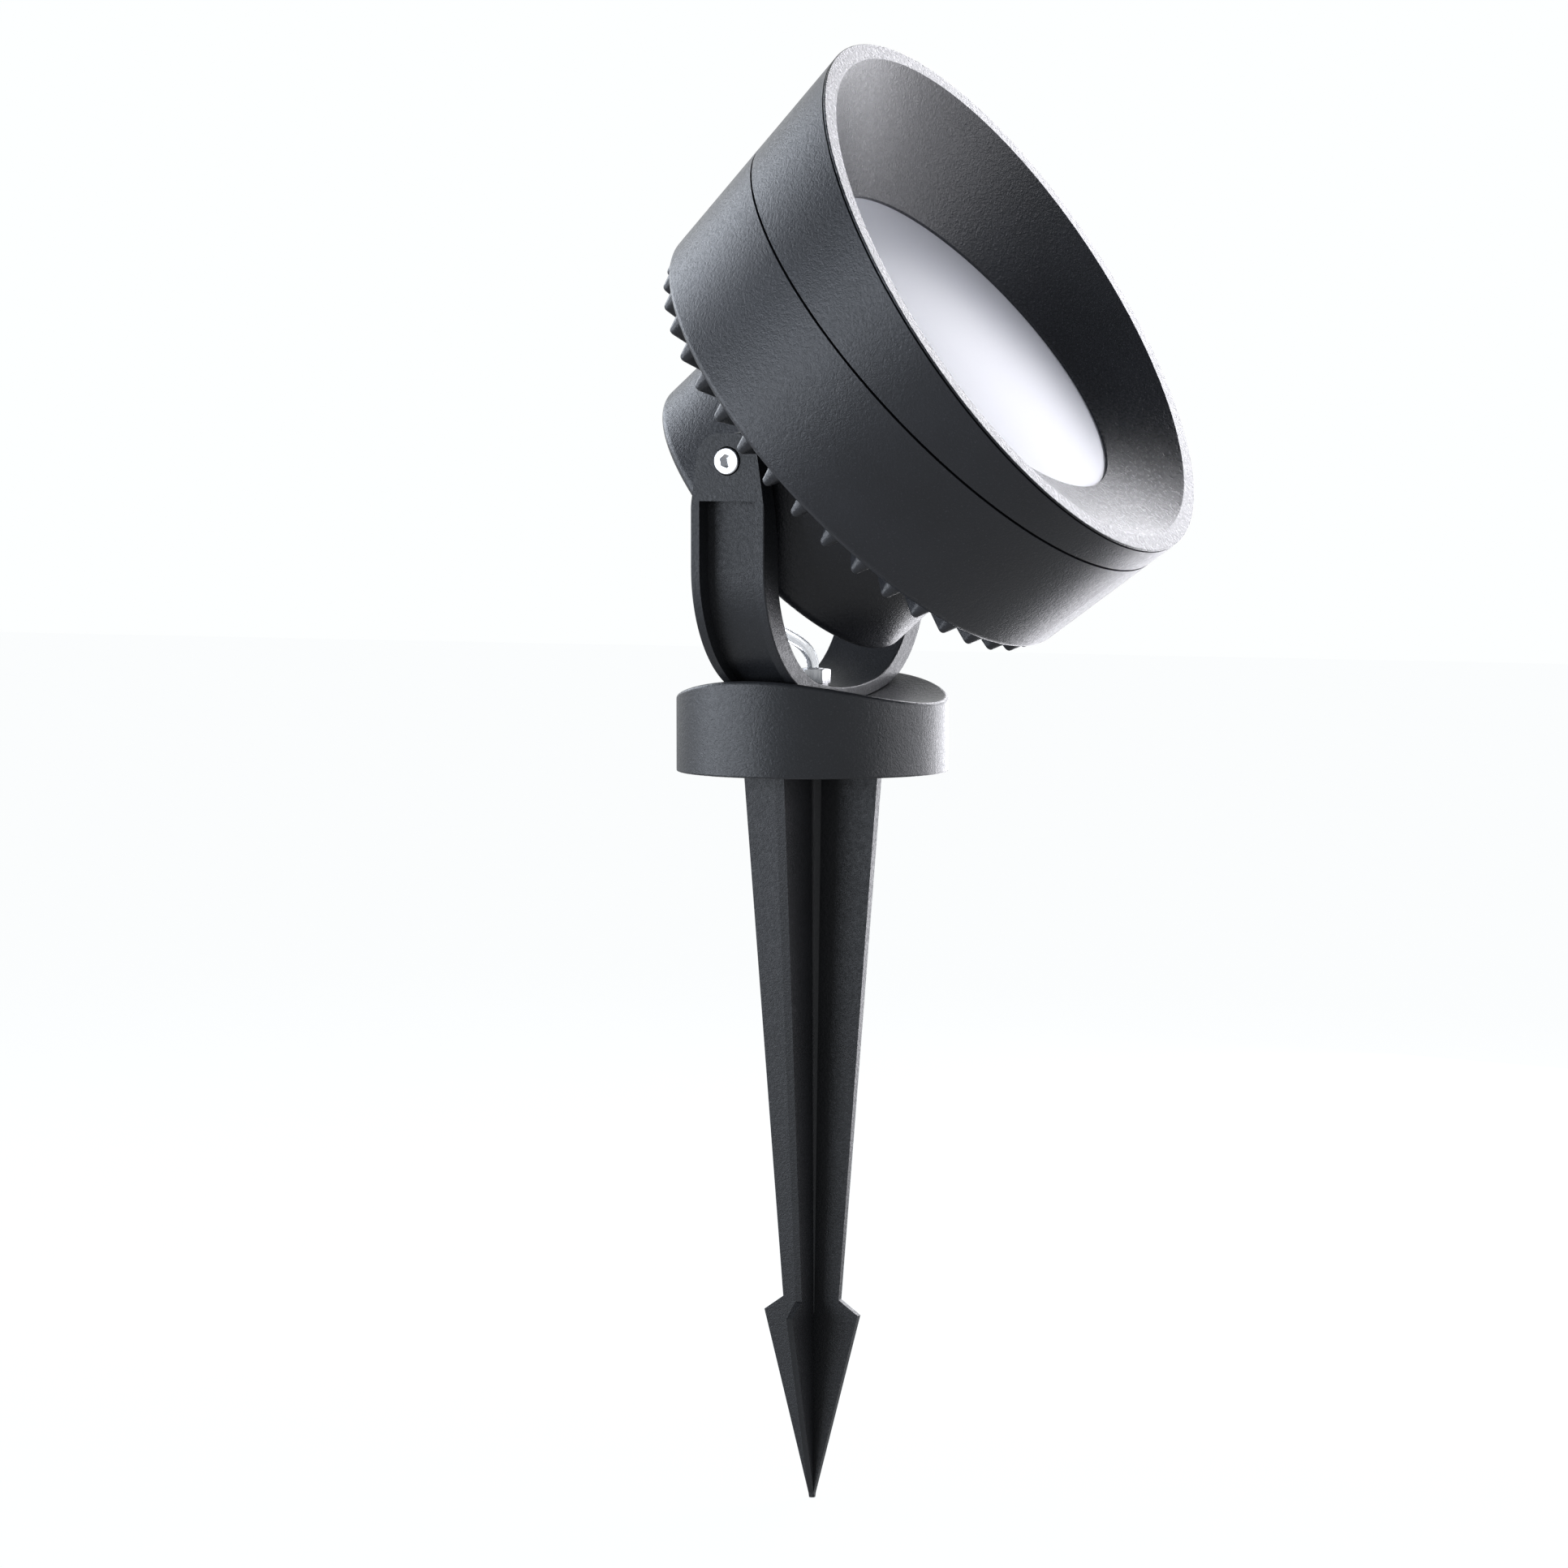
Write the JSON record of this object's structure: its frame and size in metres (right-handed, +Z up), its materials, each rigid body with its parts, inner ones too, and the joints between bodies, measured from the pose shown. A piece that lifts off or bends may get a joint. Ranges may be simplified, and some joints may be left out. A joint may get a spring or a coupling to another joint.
{
  "type": "garden spike spotlight",
  "caption": "Round finned spotlight head with a deep slanted hood and frosted glass, tilting in a U-shaped yoke on a round base with a barbed cross-ribbed ground spike.",
  "frame": {"origin": "centre of the base's flat underside, which rests at ground level; the spike goes down from it", "axes": "+Z up, +X the way the head faces, Y along the tilt axis"},
  "size_m": [0.1639, 0.1834, 0.4651],
  "materials": {
    "body_paint": "satin",
    "ring_paint": "satin",
    "baffle_paint": "satin",
    "base_paint": "satin",
    "bracket_paint": "satin",
    "spike_paint": "satin",
    "chrome": "polished",
    "steel": "satin",
    "brass": "satin",
    "rubber": "matte",
    "silicone": "matte",
    "frosted_glass": "satin",
    "reflector": "polished",
    "board": "satin",
    "pad": "matte",
    "emitter": "gloss",
    "potting": "matte",
    "terminal_plastic": "satin",
    "nylon": "satin",
    "lead_jacket": "gloss",
    "core_jacket": "gloss"
  },
  "bodies": {
    "stand": {"base_gasket": "rubber", "base_housing": "base_paint", "base_screw_1": "steel", "base_screw_2": "steel", "base_screw_3": "steel", "base_screw_4": "steel", "hex_nut": "chrome", "hollow_stud": "steel", "inlet_grommet": "rubber", "lead": "lead_jacket", "lock_washer": "steel", "spike": "spike_paint", "terminal_block": "terminal_plastic", "terminal_screw_1": "steel", "terminal_screw_2": "steel", "terminal_screw_3": "steel", "yoke": "bracket_paint"},
    "head": {"baffle": "baffle_paint", "baffle_screw_1": "steel", "baffle_screw_2": "steel", "baffle_screw_3": "steel", "baffle_screw_4": "steel", "board_screw_1": "steel", "board_screw_2": "steel", "board_screw_3": "steel", "body_seal": "rubber", "cup_screw_1": "steel", "cup_screw_2": "steel", "cup_screw_3": "steel", "cup_screw_4": "steel", "cup_seal": "rubber", "driver_cup": "body_paint", "driver_module": "potting", "emitter": "emitter", "front_ring": "ring_paint", "gland_body": "brass", "gland_cap": "brass", "gland_locknut": "brass", "gland_seal": "rubber", "glass": "frosted_glass", "glass_seal": "silicone", "led_board": "board", "led_wire_1": "core_jacket", "led_wire_2": "core_jacket", "pivot_insert_far": "brass", "pivot_insert_near": "brass", "pivot_screw_far": "chrome", "pivot_screw_near": "chrome", "pivot_washer_far": "nylon", "pivot_washer_near": "nylon", "rear_housing": "body_paint", "reflector": "reflector", "supply_core_1": "core_jacket", "supply_core_2": "core_jacket", "thermal_pad": "pad"}
  },
  "joints": [
    {"name": "head_tilt", "type": "hinge", "parent": "stand", "child": "head", "pos_m": [0, 0, 0.0993], "axis": [0, -1, 0], "range_deg": [-10, 50], "deforming": ["lead"]}
  ]
}
